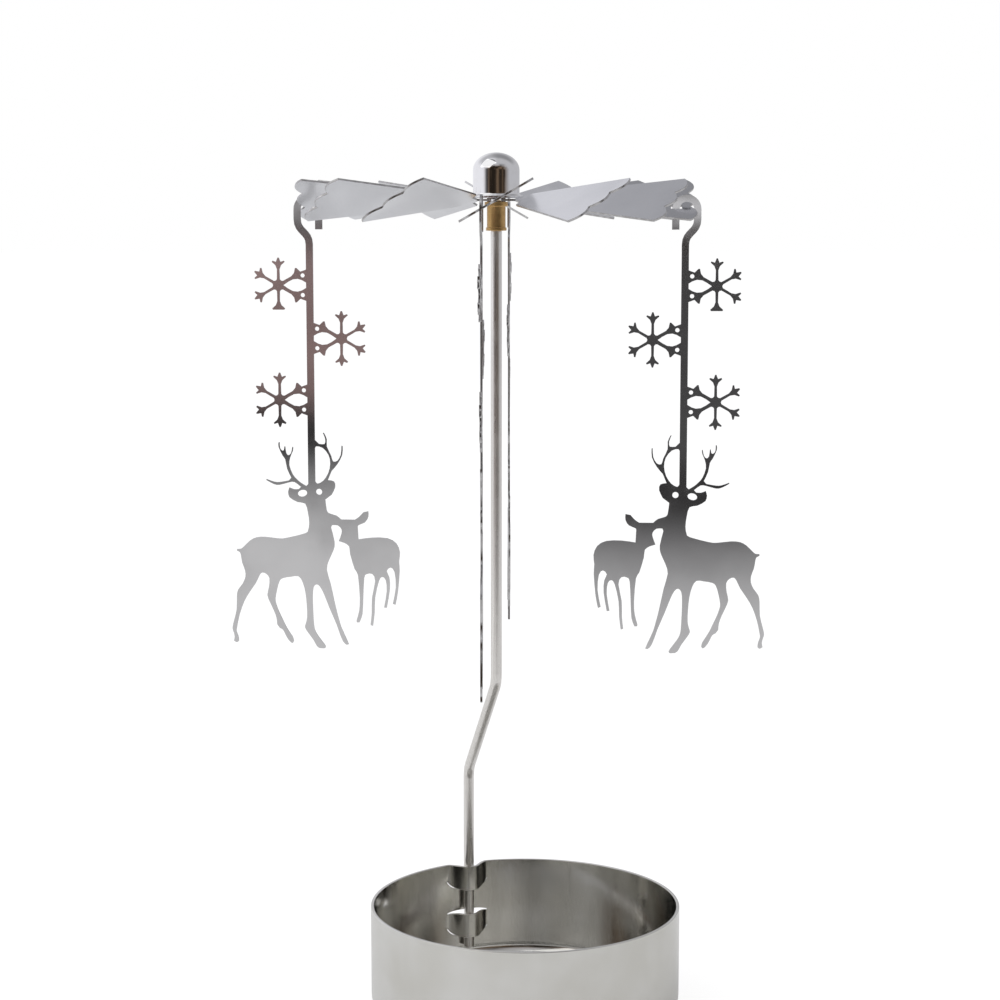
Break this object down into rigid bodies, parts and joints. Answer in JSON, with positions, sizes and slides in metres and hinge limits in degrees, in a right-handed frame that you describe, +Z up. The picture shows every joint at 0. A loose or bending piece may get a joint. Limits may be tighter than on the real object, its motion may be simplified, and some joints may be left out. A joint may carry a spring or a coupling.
{
  "type": "spinning tealight holder",
  "caption": "Round steel cup for a tealight with a cranked rod that carries a heat-driven fan and hanging cut-sheet deer and snowflake figures.",
  "frame": {"origin": "on the table under the fan's axis, at the height of the cup's underside", "axes": "+Z up along the fan's axis, -Y towards the viewer of the picture, +X to the viewer's right"},
  "size_m": [0.102, 0.102, 0.1655],
  "materials": {
    "candle_cup": "polished drawn sheet",
    "stand_rod": "bright drawn wire",
    "rotor_fan": "satin rolled sheet",
    "hub_cap": "chromed",
    "bearing_sleeve": "bright turned",
    "pivot_seat": "hardened",
    "figures": "mirror-polished sheet"
  },
  "bodies": {
    "cup": {"candle_cup": "candle_cup"},
    "stand": {"stand_rod": "stand_rod"},
    "rotor": {"rotor_fan": "rotor_fan", "hub_cap": "hub_cap", "bearing_sleeve": "bearing_sleeve", "pivot_seat": "pivot_seat"},
    "hanger_right": {"figure_right": "figures"},
    "hanger_back": {"figure_back": "figures"},
    "hanger_left": {"figure_left": "figures"},
    "hanger_front": {"figure_front": "figures"}
  },
  "joints": [
    {"name": "rod_pull", "type": "slide", "parent": "cup", "child": "stand", "axis": [0, 0, 1], "range_m": [0, 0.017]},
    {"name": "rotor_spin", "type": "hinge", "parent": "stand", "child": "rotor", "pos_m": [0, 0, 0.1623], "axis": [0, 0, 1], "continuous": true},
    {"name": "swing_right", "type": "hinge", "parent": "rotor", "child": "hanger_right", "pos_m": [0.03547, -0.00251, 0.15502], "axis": [-0.0523, -0.9986, 0], "range_deg": [-10, 30]},
    {"name": "swing_back", "type": "hinge", "parent": "rotor", "child": "hanger_back", "pos_m": [0.00251, 0.03547, 0.15502], "axis": [0.9986, -0.0523, 0], "range_deg": [-10, 30]},
    {"name": "swing_left", "type": "hinge", "parent": "rotor", "child": "hanger_left", "pos_m": [-0.03547, 0.00251, 0.15502], "axis": [0.0523, 0.9986, 0], "range_deg": [-10, 30]},
    {"name": "swing_front", "type": "hinge", "parent": "rotor", "child": "hanger_front", "pos_m": [-0.00251, -0.03547, 0.15502], "axis": [-0.9986, 0.0523, 0], "range_deg": [-10, 30]}
  ]
}
